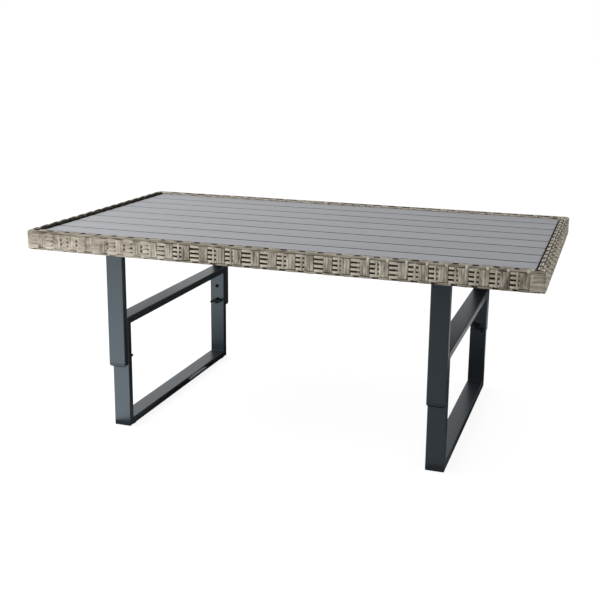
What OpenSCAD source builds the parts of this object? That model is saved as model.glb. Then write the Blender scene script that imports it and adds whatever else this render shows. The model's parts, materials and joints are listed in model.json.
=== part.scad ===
// Height-adjustable garden coffee table: a woven rim round eight composite slats, carried by
// upper legs that slide on two closed rectangular leg frames and are clamped by wing screws.
// Millimetres. +Z is up, X runs along the table, -Y is the front.
// The origin is on the floor, under the middle of the table. The table is drawn at full height.

/* [Table top] */
// Length of the table over the woven rim
top_length = 1400; // [1200:10:1600]
// Depth of the table over the woven rim
top_width = 800; // [700:10:900]
// Height of the rim's top edge above the floor, at full height
top_height = 560; // [540:5:600]
// Thickness of the woven skin round the rim tubes
weave_skin = 1.2; // [0.8:0.1:2]
// Depth of the slat surface below the rim's top edge
slat_recess = 4.5; // [2:0.5:8]

/* [Slats] */
// Number of slats
slat_count = 8; // [7:1:9]
// Thickness of one slat
slat_thickness = 12; // [10:1:15]
// Gap between neighbouring slats
slat_gap = 5.5; // [2:0.5:8]
// Gap between the slats and the woven rim
slat_margin = 5; // [1:0.5:8]

/* [Tubes] */
// Wide side of the flat tube used for the rim and the legs
tube_width = 50; // [40:1:60]
// Narrow side of that tube
tube_depth = 20; // [18:1:25]
// Wall thickness of every tube
tube_wall = 1.5; // [1.2:0.1:2]
// Outer corner radius of every tube
tube_radius = 2.5; // [2:0.5:4]
// Width of the braces under the slats
brace_width = 30; // [25:1:40]

/* [Leg frames] */
// Distance of each leg frame's middle from the table's middle
leg_offset = 450; // [400:5:500]
// Outer depth of a closed leg frame, front to back
frame_depth = 694; // [650:2:700]
// Height of the crossbar's top face above the floor
crossbar_top = 322; // [300:2:340]
// Thickness of the plastic glides under the foot rails
glide_height = 2; // [1:0.5:4]

/* [Height adjustment] */
// How far the table top can be lowered from its full height
travel = 150; // [50:5:160]
// Height of the upper legs' lower ends above the floor, at full height
upper_leg_end = 183; // [180:1:184]
// Height of the wing screws above the floor
wing_height = 203; // [202:1:215]
// Height of the guide bolts above the floor
guide_height = 255; // [245:1:265]
// Gap between the sliding faces of the legs
slide_gap = 0.5; // [0.3:0.1:1]
// Diameter of the wing screws and guide bolts
screw_diameter = 8; // [8:8]
// Span of a wing screw's handle
wing_span = 42; // [38:1:56]

/* [Hidden] */
$fn = 48;
EPS = 0.01;
LEFT = -1;
RIGHT = 1;
FRONT = -1;
REAR = 1;

coat_colour = [0.27, 0.30, 0.33];
slat_colour = [0.62, 0.63, 0.66];
weave_colour = [0.66, 0.62, 0.56];
plastic_colour = [0.06, 0.06, 0.07];
steel_colour = [0.70, 0.71, 0.72];

// Rim: a tube frame with a woven skin all round it
rim_height = tube_width + 2 * weave_skin;
rim_width = tube_depth + 2 * weave_skin;
rim_middle = top_height - rim_height / 2;
weave_radius = tube_radius + weave_skin;

// Slats, and what they lie on
slat_top = top_height - slat_recess;
slat_bottom = slat_top - slat_thickness;
slat_length = top_length - 2 * rim_width - 2 * slat_margin;
slat_field = top_width - 2 * rim_width - 2 * slat_margin;
slat_width = (slat_field - (slat_count - 1) * slat_gap) / slat_count;
slat_pitch = slat_width + slat_gap;
slat_radius = 1.5;
inner_depth = top_width - 2 * weave_skin - 2 * tube_depth;
brace_offset = leg_offset / 2;
batten_offset = slat_length / 2 - brace_width / 2;
brace_positions = [-batten_offset, -leg_offset, -brace_offset, 0, brace_offset, leg_offset, batten_offset];
brace_cut_gap = 0.2;

// Screws from below into the slats
slat_screw_radius = 2;
slat_screw_bite = 8.5;
slat_screw_head_radius = 4;
slat_screw_head = 2.4;
pilot_gap = 0.05;

// Leg frames
frame_bottom = glide_height;
frame_height = crossbar_top - frame_bottom;
upper_leg_face = frame_depth / 2 + slide_gap;

// Upper legs and their fixing to the table top
cap_thickness = 10;
cap_round = 7;
cap_plug = 5;
cap_gap = 0.1;
rail_bottom = slat_bottom - tube_depth;
flange_thickness = 5;
flange_length = 125;
upper_leg_top = rail_bottom - flange_thickness;
flange_outer = inner_depth / 2 - 3;
flange_bolt_radius = 3;
flange_bolt_head = 4;
flange_bolt_head_radius = 5.77;
flange_bolt_length = 12;
flange_bolt_hole = 3.3;
flange_bolt_x = 14;
flange_bolt_rows = [flange_outer - 52, flange_outer - 107];
flange_clearance = 5;
rivet_nut_radius = 4.5;
rivet_nut_length = 12;

// Clamping: screws pass the leg frame and a slot in the upper leg, into a plate inside that leg
screw_radius = screw_diameter / 2;
screw_hole = screw_radius + 0.25;
slot_half_width = screw_radius + 0.3;
thread_gap = 0.05;
plate_thickness = 6;
plate_width = 40;
plate_gap = 0.4;
plate_margin_high = 12;
seat_gap = 0.4;
screw_reach = tube_depth + slide_gap + tube_wall + plate_gap + plate_thickness + 1;
slot_low = wing_height;
slot_high = guide_height + travel;
bolt_head_radius = 6;
bolt_head = 4;
bolt_socket_radius = 2.9;
bolt_socket = 2;
hub_radius = 10;
hub_height = 13;
wing_thickness = 8;
wing_low = 5;
wing_high = 16;

// Turn of each wing handle from level, as it was last tightened
wing_turns = [[0, -8], [68, 34]];

glide_width = 46;
glide_depth = 18;
glide_stem = 4;
glide_stem_length = 5;
glide_position = frame_depth / 2 - 30;

function side_index(side) = side == LEFT ? 0 : 1;
function end_index(end) = end == FRONT ? 0 : 1;
function slat_y(number) = (number - (slat_count + 1) / 2) * slat_pitch;

module rounded_rect(width, depth, radius) {
    square([width - 2 * radius, depth], center = true);
    square([width, depth - 2 * radius], center = true);
    for (x = [-1, 1], y = [-1, 1])
        translate([x * (width / 2 - radius), y * (depth / 2 - radius)]) circle(radius);
}

module tube_section(width, depth, wall, radius) {
    difference() {
        rounded_rect(width, depth, radius);
        rounded_rect(width - 2 * wall, depth - 2 * wall, max(radius - wall, 0.5));
    }
}

// A tube along X with both ends mitred: its long side is at z = 0, its short side at z = depth
module mitred_tube(length, width, depth, wall, radius) {
    intersection() {
        translate([-length / 2, 0, depth / 2]) rotate([90, 0, 90])
            linear_extrude(length) tube_section(width, depth, wall, radius);
        translate([0, width / 2 + 1, 0]) rotate([90, 0, 0])
            linear_extrude(width + 2)
                polygon([[-length / 2, 0], [length / 2, 0], [length / 2 - depth, depth], [-length / 2 + depth, depth]]);
    }
}

// A square-cut tube along Y, its top face at z = 0
module cross_tube(length, width, depth) {
    translate([0, length / 2, -depth / 2]) rotate([90, 0, 0])
        linear_extrude(length) tube_section(width, depth, tube_wall, tube_radius);
}

// Places the long side of a rim part: a front part for lengthwise sides, turned for the ends
module at_rim(side, long_way) {
    mirror(long_way ? [0, side == REAR ? 1 : 0, 0] : [side == LEFT ? 1 : 0, 0, 0])
        rotate([0, 0, long_way ? 0 : 90]) children();
}

module rim_tube(side, long_way) {
    length = (long_way ? top_length : top_width) - 2 * weave_skin;
    offset_y = (long_way ? top_width : top_length) / 2 - weave_skin;
    color(coat_colour) at_rim(side, long_way)
        translate([0, -offset_y, rim_middle]) rotate([-90, 0, 0])
            mitred_tube(length, tube_width, tube_depth, tube_wall, tube_radius);
}

module woven_rim(side, long_way) {
    length = long_way ? top_length : top_width;
    offset_y = (long_way ? top_width : top_length) / 2;
    color(weave_colour) difference() {
        at_rim(side, long_way)
            translate([0, -offset_y, rim_middle]) rotate([-90, 0, 0])
                mitred_tube(length, rim_height, rim_width, weave_skin, weave_radius);
        if (long_way) brace_passages();
    }
}

// Where the braces pass through the weave to reach the rim tubes
module brace_passages() {
    for (x = brace_positions) {
        width = (abs(x) == leg_offset ? tube_width : brace_width) + 2 * brace_cut_gap;
        translate([x - width / 2, -inner_depth / 2 - EPS, rail_bottom - brace_cut_gap])
            cube([width, inner_depth + 2 * EPS, tube_depth + 2 * brace_cut_gap]);
    }
}

module slat(number) {
    color(slat_colour) difference() {
        translate([-slat_length / 2, slat_y(number), slat_bottom + slat_thickness / 2]) rotate([90, 0, 90])
            linear_extrude(slat_length) rounded_rect(slat_width, slat_thickness, slat_radius);
        for (x = brace_positions)
            translate([x, slat_y(number), slat_bottom - 1])
                cylinder(r = slat_screw_radius + pilot_gap, h = slat_screw_bite + 1.5);
    }
}

// Clearance holes for the slat screws through a brace at this place
module slat_screw_holes(x) {
    for (number = [1:slat_count])
        translate([x, slat_y(number), rail_bottom - 1])
            cylinder(r = slat_screw_radius + 0.2, h = tube_depth + 2);
}

module brace(x, width) {
    color(coat_colour) difference() {
        translate([x, 0, slat_bottom]) cross_tube(inner_depth, width, tube_depth);
        slat_screw_holes(x);
    }
}

module leg_rail(side) {
    color(coat_colour) difference() {
        brace(side * leg_offset, tube_width);
        for (end = [FRONT, REAR])
            at_flange_bolts(side, end) translate([0, 0, -1]) cylinder(r = rivet_nut_radius + 0.05, h = tube_wall + 2);
    }
}

module slat_screws() {
    color(steel_colour) for (x = brace_positions, number = [1:slat_count])
        translate([x, slat_y(number), rail_bottom]) {
            cylinder(r = slat_screw_radius, h = tube_depth + slat_screw_bite);
            translate([0, 0, -slat_screw_head])
                cylinder(r1 = slat_screw_head_radius - 1, r2 = slat_screw_head_radius, h = slat_screw_head);
        }
}

// Places a front part of a leg at any of the four legs: x is measured from the leg's middle
module at_leg(side, end) {
    translate([side * leg_offset, 0, 0]) mirror([0, end == REAR ? 1 : 0, 0]) children();
}

module upper_leg(side, end) {
    tube_start = upper_leg_end + cap_thickness;
    color(coat_colour) at_leg(side, end) difference() {
        translate([0, -upper_leg_face - tube_depth / 2, tube_start])
            linear_extrude(upper_leg_top - tube_start)
                tube_section(tube_width, tube_depth, tube_wall, tube_radius);
        clamp_slot();
    }
}

// The vertical slot in an upper leg's inner wall
module clamp_slot() {
    depth = tube_wall + 2;
    translate([0, -upper_leg_face + 1, 0]) rotate([90, 0, 0]) {
        translate([-slot_half_width, slot_low, 0]) cube([2 * slot_half_width, slot_high - slot_low, depth]);
        for (z = [slot_low, slot_high]) translate([0, z, 0]) cylinder(r = slot_half_width, h = depth);
    }
}

// An end cap whose lower corners are round, with a plug beside the clamp plate
module leg_cap(side, end) {
    plug_width = tube_width - 2 * tube_wall - 2 * cap_gap;
    plug_outer = tube_depth / 2 - tube_wall - cap_gap;
    plug_depth = tube_depth - 2 * tube_wall - 2 * plate_gap - plate_thickness - 1;
    color(plastic_colour) at_leg(side, end)
        translate([0, -upper_leg_face - tube_depth / 2, upper_leg_end]) {
            intersection() {
                linear_extrude(cap_thickness) rounded_rect(tube_width, tube_depth, tube_radius);
                translate([0, tube_depth / 2 + 1, 0]) rotate([90, 0, 0])
                    linear_extrude(tube_depth + 2) cap_outline();
            }
            translate([0, plug_depth / 2 - plug_outer, cap_thickness - 1])
                linear_extrude(cap_plug + 1) rounded_rect(plug_width, plug_depth, 1);
        }
}

module cap_outline() {
    flat = tube_width - 2 * cap_round;
    translate([-flat / 2, 0]) square([flat, cap_thickness + 1]);
    translate([-tube_width / 2, cap_round]) square([tube_width, cap_thickness - cap_round + 1]);
    for (x = [-1, 1]) translate([x * flat / 2, cap_round]) circle(cap_round);
}

module leg_flange(side, end) {
    color(coat_colour) difference() {
        at_leg(side, end) translate([0, -flange_outer + flange_length / 2, upper_leg_top])
            linear_extrude(flange_thickness) rounded_rect(tube_width, flange_length, 3);
        at_flange_bolts(side, end) translate([0, 0, -flange_thickness - 1])
            cylinder(r = flange_bolt_hole, h = flange_thickness + 2);
        // Room for the head of the outermost slat's screw
        at_leg(side, end) translate([0, slat_y(1), upper_leg_top - 1])
            cylinder(r = flange_clearance, h = flange_thickness + 2);
    }
}

module at_flange_bolts(side, end) {
    at_leg(side, end) for (x = [-flange_bolt_x, flange_bolt_x], y = flange_bolt_rows)
        translate([x, -y, rail_bottom]) children();
}

module flange_bolts() {
    color(steel_colour) for (side = [LEFT, RIGHT], end = [FRONT, REAR])
        at_flange_bolts(side, end) translate([0, 0, -flange_thickness]) {
            cylinder(r = flange_bolt_radius, h = flange_thickness + flange_bolt_length);
            translate([0, 0, -flange_bolt_head]) cylinder(r = flange_bolt_head_radius, h = flange_bolt_head, $fn = 6);
        }
}

module rivet_nuts() {
    color(steel_colour) for (side = [LEFT, RIGHT], end = [FRONT, REAR])
        at_flange_bolts(side, end) difference() {
            cylinder(r = rivet_nut_radius, h = rivet_nut_length);
            translate([0, 0, -1]) cylinder(r = flange_bolt_radius + thread_gap, h = rivet_nut_length + 2);
        }
}

module foot_rail(side) {
    color(coat_colour) difference() {
        translate([side * leg_offset, 0, frame_bottom]) rotate([0, 0, 90])
            mitred_tube(frame_depth, tube_width, tube_depth, tube_wall, tube_radius);
        for (end = [FRONT, REAR])
            at_leg(side, end) translate([0, -glide_position, frame_bottom - 1])
                cylinder(r = glide_stem + 0.05, h = tube_wall + 2);
    }
}

module crossbar(side) {
    color(coat_colour) translate([side * leg_offset, 0, crossbar_top]) rotate([180, 0, 90])
        mitred_tube(frame_depth, tube_width, tube_depth, tube_wall, tube_radius);
}

module upright(side, end) {
    color(coat_colour) at_leg(side, end) difference() {
        translate([0, -frame_depth / 2, frame_bottom + frame_height / 2]) rotate([0, -90, -90])
            mitred_tube(frame_height, tube_width, tube_depth, tube_wall, tube_radius);
        for (z = [wing_height, guide_height])
            translate([0, -frame_depth / 2 + tube_depth + 1, z]) rotate([90, 0, 0])
                cylinder(r = screw_hole, h = tube_depth + 2);
    }
}

module clamp_plate(side, end) {
    low = upper_leg_end + cap_thickness + plate_gap;
    high = guide_height + plate_margin_high;
    near_face = upper_leg_face + tube_wall + plate_gap;
    color(steel_colour) at_leg(side, end) difference() {
        translate([-plate_width / 2, -near_face - plate_thickness, low])
            cube([plate_width, plate_thickness, high - low]);
        for (z = [wing_height, guide_height])
            translate([0, -near_face + 1, z]) rotate([90, 0, 0])
                cylinder(r = screw_radius + thread_gap, h = plate_thickness + 2);
    }
}

// Places a screw's head on the inner face of a leg frame: local +z points out of that face
module at_screw(side, end, height) {
    at_leg(side, end) translate([0, -frame_depth / 2 + tube_depth, height]) rotate([-90, 0, 0]) children();
}

module screw_shank() {
    translate([0, 0, -screw_reach]) cylinder(r = screw_radius, h = screw_reach + seat_gap + 1);
}

module guide_bolts(side) {
    color(plastic_colour) for (end = [FRONT, REAR]) at_screw(side, end, guide_height) {
        screw_shank();
        difference() {
            cylinder(r1 = bolt_head_radius, r2 = bolt_head_radius - 1.2, h = bolt_head);
            translate([0, 0, bolt_head - bolt_socket]) cylinder(r = bolt_socket_radius, h = bolt_socket + 1, $fn = 6);
        }
    }
}

module wing_screw(side, end) {
    turn = wing_turns[side_index(side)][end_index(end)];
    tip = wing_span / 2 - wing_thickness / 2;
    color(plastic_colour) at_screw(side, end, wing_height) {
        screw_shank();
        translate([0, 0, seat_gap]) cylinder(r1 = hub_radius, r2 = hub_radius - 1.5, h = hub_height);
        rotate([0, 0, end == REAR ? turn : -turn]) {
            translate([-tip, -wing_thickness / 2, wing_low]) cube([2 * tip, wing_thickness, wing_high - wing_low]);
            for (x = [-tip, tip]) translate([x, 0, wing_low]) cylinder(r = wing_thickness / 2, h = wing_high - wing_low);
        }
    }
}

module floor_glides(side) {
    color(plastic_colour) for (end = [FRONT, REAR]) at_leg(side, end) translate([0, -glide_position, 0]) {
        linear_extrude(glide_height) rounded_rect(glide_width, glide_depth, 3);
        cylinder(r = glide_stem, h = glide_height + glide_stem_length);
    }
}

rim_tube(FRONT, true);  // rim_tube_front
rim_tube(REAR, true);  // rim_tube_rear
rim_tube(LEFT, false);  // rim_tube_left
rim_tube(RIGHT, false);  // rim_tube_right
woven_rim(FRONT, true);  // woven_rim_front
woven_rim(REAR, true);  // woven_rim_rear
woven_rim(LEFT, false);  // woven_rim_left
woven_rim(RIGHT, false);  // woven_rim_right
slat(1);  // slat_1
slat(2);  // slat_2
slat(3);  // slat_3
slat(4);  // slat_4
slat(5);  // slat_5
slat(6);  // slat_6
slat(7);  // slat_7
slat(8);  // slat_8
leg_rail(LEFT);  // leg_rail_left
leg_rail(RIGHT);  // leg_rail_right
brace(-brace_offset, brace_width);  // brace_left
brace(0, brace_width);  // brace_centre
brace(brace_offset, brace_width);  // brace_right
brace(-batten_offset, brace_width);  // end_batten_left
brace(batten_offset, brace_width);  // end_batten_right
slat_screws();
upper_leg(LEFT, FRONT);  // upper_leg_left_front
upper_leg(LEFT, REAR);  // upper_leg_left_rear
upper_leg(RIGHT, FRONT);  // upper_leg_right_front
upper_leg(RIGHT, REAR);  // upper_leg_right_rear
leg_cap(LEFT, FRONT);  // leg_cap_left_front
leg_cap(LEFT, REAR);  // leg_cap_left_rear
leg_cap(RIGHT, FRONT);  // leg_cap_right_front
leg_cap(RIGHT, REAR);  // leg_cap_right_rear
leg_flange(LEFT, FRONT);  // leg_flange_left_front
leg_flange(LEFT, REAR);  // leg_flange_left_rear
leg_flange(RIGHT, FRONT);  // leg_flange_right_front
leg_flange(RIGHT, REAR);  // leg_flange_right_rear
flange_bolts();
rivet_nuts();
foot_rail(LEFT);  // foot_rail_left
crossbar(LEFT);  // crossbar_left
upright(LEFT, FRONT);  // upright_left_front
upright(LEFT, REAR);  // upright_left_rear
clamp_plate(LEFT, FRONT);  // clamp_plate_left_front
clamp_plate(LEFT, REAR);  // clamp_plate_left_rear
guide_bolts(LEFT);  // guide_bolts_left
floor_glides(LEFT);  // floor_glides_left
foot_rail(RIGHT);  // foot_rail_right
crossbar(RIGHT);  // crossbar_right
upright(RIGHT, FRONT);  // upright_right_front
upright(RIGHT, REAR);  // upright_right_rear
clamp_plate(RIGHT, FRONT);  // clamp_plate_right_front
clamp_plate(RIGHT, REAR);  // clamp_plate_right_rear
guide_bolts(RIGHT);  // guide_bolts_right
floor_glides(RIGHT);  // floor_glides_right
wing_screw(LEFT, FRONT);  // wing_screw_left_front
wing_screw(LEFT, REAR);  // wing_screw_left_rear
wing_screw(RIGHT, FRONT);  // wing_screw_right_front
wing_screw(RIGHT, REAR);  // wing_screw_right_rear
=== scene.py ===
import json
import math

import bmesh
import bpy
import numpy as np
from mathutils import Matrix, Vector


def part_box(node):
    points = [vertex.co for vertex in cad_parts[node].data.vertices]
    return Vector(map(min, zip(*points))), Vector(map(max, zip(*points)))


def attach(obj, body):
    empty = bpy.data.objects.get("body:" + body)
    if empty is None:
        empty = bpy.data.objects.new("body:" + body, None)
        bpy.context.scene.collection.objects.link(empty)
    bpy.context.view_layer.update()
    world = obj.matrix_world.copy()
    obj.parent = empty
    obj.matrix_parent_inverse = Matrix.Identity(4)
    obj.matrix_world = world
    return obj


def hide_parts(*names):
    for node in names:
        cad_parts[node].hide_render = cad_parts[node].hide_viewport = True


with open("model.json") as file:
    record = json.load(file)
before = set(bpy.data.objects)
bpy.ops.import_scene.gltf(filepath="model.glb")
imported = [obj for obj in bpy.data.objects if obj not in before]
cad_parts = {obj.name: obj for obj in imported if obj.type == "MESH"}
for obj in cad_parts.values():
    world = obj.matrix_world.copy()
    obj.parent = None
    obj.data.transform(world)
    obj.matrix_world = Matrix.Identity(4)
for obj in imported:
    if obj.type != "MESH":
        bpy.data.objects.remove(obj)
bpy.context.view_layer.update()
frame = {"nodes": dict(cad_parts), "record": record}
NODES = frame["nodes"]

MM = 0.001
SEED = 20

# Camera: where it stands, where it looks, and its lens
CAMERA_PLACE = (0.8541, -2.6306, 1.0617)
CAMERA_YAW = 18.528       # degrees to the left of +Y
CAMERA_PITCH = 12.803     # degrees below the horizon
CAMERA_ROLL = 0.651       # degrees
CAMERA_LENS = 57.675      # mm, on a 36 mm sensor
CAMERA_SHIFT = (-0.0056, -0.0575)

# Light from the surroundings: everywhere, from the left, from above, from behind, and what the camera sees
WORLD_BASE = 0.07
WORLD_LEFT = 2.1
WORLD_ABOVE = 0.32
WORLD_BEHIND = 0.34
BACKDROP = 1.0

# Soft lights: name, place, target, size, power
LIGHTS = (("key", (-1.9, -2.4, 0.75), (-0.3, -0.3, 0.35), (1.7, 1.5), 6),
          ("left_top", (-1.45, -0.5, 1.4), (-0.35, 0.0, 0.56), (1.2, 1.2), 7.4),
          ("right_fill", (1.7, 0.0, 0.30), (0.7, 0.0, 0.53), (0.5, 1.2), 9))

# Bright cards on the floor: name, place, size, turn in degrees, power
CARDS = (("front_card", (-1.255, -1.76), (0.9, 3.2), 30, 18.7),
         ("middle_card", (0.24, -1.40), (0.6, 2.1), 10, 1.0),
         ("inner_card", (-0.70, -0.08), (0.4, 0.7), 24, 0.7),
         ("back_card", (0.68, 0.95), (0.5, 0.8), 0, 0.95))


# -------------------- scene: camera, floor, light

def make_camera():
    """The camera at the viewing angle of the picture."""
    data = bpy.data.cameras.new("camera")
    data.sensor_width = 36.0
    data.lens = CAMERA_LENS
    data.shift_x, data.shift_y = CAMERA_SHIFT
    data.clip_end = 200.0
    camera = bpy.data.objects.new("camera", data)
    bpy.context.scene.collection.objects.link(camera)
    turn = Matrix.Rotation(math.radians(CAMERA_YAW), 4, "Z")
    tilt = Matrix.Rotation(math.radians(90 - CAMERA_PITCH), 4, "X")
    roll = Matrix.Rotation(math.radians(CAMERA_ROLL), 4, "Z")
    camera.matrix_world = Matrix.Translation(CAMERA_PLACE) @ turn @ tilt @ roll
    bpy.context.scene.camera = camera


def floor_material():
    """Pale paper that shines a little, so that shadows on it stay faint. What the object reflects of it is
    grey in front, and nearly black from the table's middle backwards."""
    material = bpy.data.materials.new("floor_paper")
    material.use_nodes = True
    nodes, links = material.node_tree.nodes, material.node_tree.links
    nodes.clear()
    seen = nodes.new("ShaderNodeLightPath").outputs["Is Camera Ray"]
    paper, glow = nodes.new("ShaderNodeBsdfDiffuse"), nodes.new("ShaderNodeEmission")
    grey = nodes.new("ShaderNodeBsdfDiffuse")
    paper.inputs["Color"].default_value = (0.92, 0.92, 0.92, 1)
    glow.inputs["Color"].default_value = (1, 1, 1, 1)
    glow.inputs["Strength"].default_value = 1.22
    g = Graph(material)
    behind = g.step(g.axes(g.position())["Y"], -0.25, -0.05)
    links.new(g.mix(behind, (0.40, 0.40, 0.40, 1), (0.07, 0.07, 0.07, 1)), grey.inputs["Color"])
    pale, either = nodes.new("ShaderNodeMixShader"), nodes.new("ShaderNodeMixShader")
    pale.inputs["Fac"].default_value = 0.72
    links.new(paper.outputs[0], pale.inputs[1])
    links.new(glow.outputs[0], pale.inputs[2])
    links.new(seen, either.inputs["Fac"])
    links.new(grey.outputs[0], either.inputs[1])
    links.new(pale.outputs[0], either.inputs[2])
    links.new(either.outputs[0], nodes.new("ShaderNodeOutputMaterial").inputs["Surface"])
    return material


def make_floor():
    """A large floor that reaches the horizon."""
    mesh = bpy.data.meshes.new("floor")
    disc = bmesh.new()
    bmesh.ops.create_circle(disc, cap_ends=True, segments=96, radius=60.0)
    disc.to_mesh(mesh)
    disc.free()
    mesh.materials.append(floor_material())
    floor = bpy.data.objects.new("floor", mesh)
    bpy.context.scene.collection.objects.link(floor)


def make_world():
    """A pale backdrop, and soft light: strong from the left, weaker from above and from behind."""
    world = bpy.data.worlds.new("studio")
    bpy.context.scene.world = world
    world.use_nodes = True
    g = Graph(world)
    background = g.nodes["Background"]
    background.inputs["Color"].default_value = (1, 1, 1, 1)
    way = g.axes(g.nodes.new("ShaderNodeTexCoord").outputs["Generated"])
    leftness = g.math("MULTIPLY_ADD", way["X"], -0.5, 0.5)
    from_left = g.math("MULTIPLY", g.math("POWER", leftness, 4.0), WORLD_LEFT)
    from_above = g.math("MULTIPLY", g.math("MAXIMUM", way["Z"], 0.0), WORLD_ABOVE)
    aside = g.math("MULTIPLY_ADD", way["X"], -0.22, 0.5)
    backness = g.math("MULTIPLY_ADD", way["Y"], 0.45, aside)
    from_behind = g.math("MULTIPLY", g.math("POWER", backness, 8.0), WORLD_BEHIND)
    light = g.math("ADD", g.math("ADD", from_left, from_above), g.math("ADD", from_behind, WORLD_BASE))
    seen = g.nodes.new("ShaderNodeLightPath").outputs["Is Camera Ray"]
    strength = g.math("ADD", g.math("MULTIPLY", seen, BACKDROP),
                      g.math("MULTIPLY", g.math("SUBTRACT", 1.0, seen), light))
    g.links.new(strength, background.inputs["Strength"])


def area_light(name, place, target, size, power):
    """One soft rectangular light that points at target and isn't seen itself."""
    data = bpy.data.lights.new(name, "AREA")
    data.shape = "RECTANGLE"
    data.size, data.size_y = size
    data.energy = power
    light = bpy.data.objects.new(name, data)
    bpy.context.scene.collection.objects.link(light)
    light.location = place
    aim = Vector(target) - Vector(place)
    light.rotation_euler = aim.to_track_quat("-Z", "Y").to_euler()
    light.visible_camera = False


def floor_card(name, place, size, turn, power):
    """A bright card that lies on the floor, turned about the vertical."""
    x, y = place
    area_light(name, (x, y, 0.01), (x, y, 1.0), size, power)
    card = bpy.data.objects[name]
    card.rotation_euler = (math.pi, 0.0, math.radians(-turn))


def make_lights():
    """Soft lights at the left and the right, and bright cards on the floor, which the tubes reflect."""
    for light in LIGHTS:
        area_light(*light)
    for card in CARDS:
        floor_card(*card)


# -------------------- materials

def new_material(name):
    """A new node material and its shader."""
    material = bpy.data.materials.new(name)
    material.use_nodes = True
    return material, material.node_tree.nodes["Principled BSDF"]


class Graph:
    """Short ways to add the nodes of a procedural material."""

    def __init__(self, material):
        self.nodes = material.node_tree.nodes
        self.links = material.node_tree.links
        self.shader = self.nodes.get("Principled BSDF")

    def put(self, socket, value):
        """Links or sets a socket."""
        if isinstance(value, bpy.types.NodeSocket):
            self.links.new(value, socket)
        else:
            socket.default_value = value

    def math(self, operation, *values):
        node = self.nodes.new("ShaderNodeMath")
        node.operation = operation
        for socket, value in zip(node.inputs, values):
            self.put(socket, value)
        return node.outputs[0]

    def attribute(self, name):
        node = self.nodes.new("ShaderNodeAttribute")
        node.attribute_name = name
        return node.outputs["Fac"]

    def position(self):
        """Object coordinates, which are the shared frame's on every piece here."""
        return self.nodes.new("ShaderNodeTexCoord").outputs["Object"]

    def stretched(self, vector, scale):
        node = self.nodes.new("ShaderNodeMapping")
        self.put(node.inputs["Vector"], vector)
        node.inputs["Scale"].default_value = scale
        return node.outputs["Vector"]

    def axes(self, vector):
        """The X, Y and Z of a vector."""
        node = self.nodes.new("ShaderNodeSeparateXYZ")
        self.put(node.inputs[0], vector)
        return node.outputs

    def combine(self, x, y, z=0.0):
        node = self.nodes.new("ShaderNodeCombineXYZ")
        self.put(node.inputs[0], x)
        self.put(node.inputs[1], y)
        self.put(node.inputs[2], z)
        return node.outputs[0]

    def noise(self, vector, scale=1.0, detail=2.0, roughness=0.5):
        node = self.nodes.new("ShaderNodeTexNoise")
        self.put(node.inputs["Vector"], vector)
        node.inputs["Scale"].default_value = scale
        node.inputs["Detail"].default_value = detail
        node.inputs["Roughness"].default_value = roughness
        return node.outputs["Fac"]

    def ramp(self, factor, stops):
        node = self.nodes.new("ShaderNodeValToRGB")
        self.put(node.inputs["Fac"], factor)
        elements = node.color_ramp.elements
        while len(elements) < len(stops):
            elements.new(0.5)
        for element, (place, colour) in zip(elements, stops):
            element.position = place
            element.color = (*colour, 1)
        return node.outputs["Color"]

    def mix(self, factor, first, second):
        """Blends two colours."""
        node = self.nodes.new("ShaderNodeMix")
        node.data_type = "RGBA"
        colours = [socket for socket in node.inputs if socket.type == "RGBA"]
        self.put(node.inputs[0], factor)
        self.put(colours[0], first)
        self.put(colours[1], second)
        return next(socket for socket in node.outputs if socket.type == "RGBA")

    def span(self, factor, low, high):
        """Maps 0..1 to low..high."""
        node = self.nodes.new("ShaderNodeMapRange")
        self.put(node.inputs["Value"], factor)
        node.inputs["To Min"].default_value = low
        node.inputs["To Max"].default_value = high
        return node.outputs["Result"]

    def step(self, value, zero_at, one_at):
        """0 to 1 between two values, clamped."""
        node = self.nodes.new("ShaderNodeMapRange")
        self.put(node.inputs["Value"], value)
        node.inputs["From Min"].default_value = zero_at
        node.inputs["From Max"].default_value = one_at
        return node.outputs["Result"]

    def bump(self, height, distance, strength=1.0):
        node = self.nodes.new("ShaderNodeBump")
        self.put(node.inputs["Height"], height)
        node.inputs["Distance"].default_value = distance
        node.inputs["Strength"].default_value = strength
        self.links.new(node.outputs["Normal"], self.shader.inputs["Normal"])


def strand_material():
    """Variegated flat plastic wicker: long streaks from brown to cream along each strand."""
    material, shader = new_material("woven_strand")
    g = Graph(material)
    along, across, tone = g.attribute("along"), g.attribute("across"), g.attribute("tone")
    fine = g.combine(g.math("MULTIPLY", along, 55.0), g.math("MULTIPLY", across, 1300.0), tone)
    broad = g.combine(g.math("MULTIPLY", along, 26.0), g.math("MULTIPLY", across, 300.0), tone)
    streaks, patches = g.noise(fine, detail=3.0), g.noise(broad)
    mixed = g.math("ADD", g.math("MULTIPLY", streaks, 0.5), g.math("MULTIPLY", patches, 0.5))
    centred = g.math("MULTIPLY", g.math("SUBTRACT", mixed, 0.5), 2.3)
    # The tone attribute holds each strand's own tone less the painted shade worked out for it, so shaded
    # parts are darker and reflect less.
    shade = g.math("ADD", centred, tone)
    stops = [(0.0, (0.040, 0.030, 0.021)), (0.3, (0.20, 0.17, 0.13)), (0.5, (0.34, 0.30, 0.235)),
             (0.72, (0.52, 0.465, 0.38)), (1.0, (0.72, 0.67, 0.57))]
    g.put(shader.inputs["Base Color"], g.ramp(shade, stops))
    g.put(shader.inputs["Roughness"], g.span(streaks, 0.38, 0.62))
    g.put(shader.inputs["Specular IOR Level"], g.math("MULTIPLY", g.step(shade, -0.25, 0.5), 0.4))
    g.bump(streaks, 0.00025, 0.6)
    return material


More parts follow.
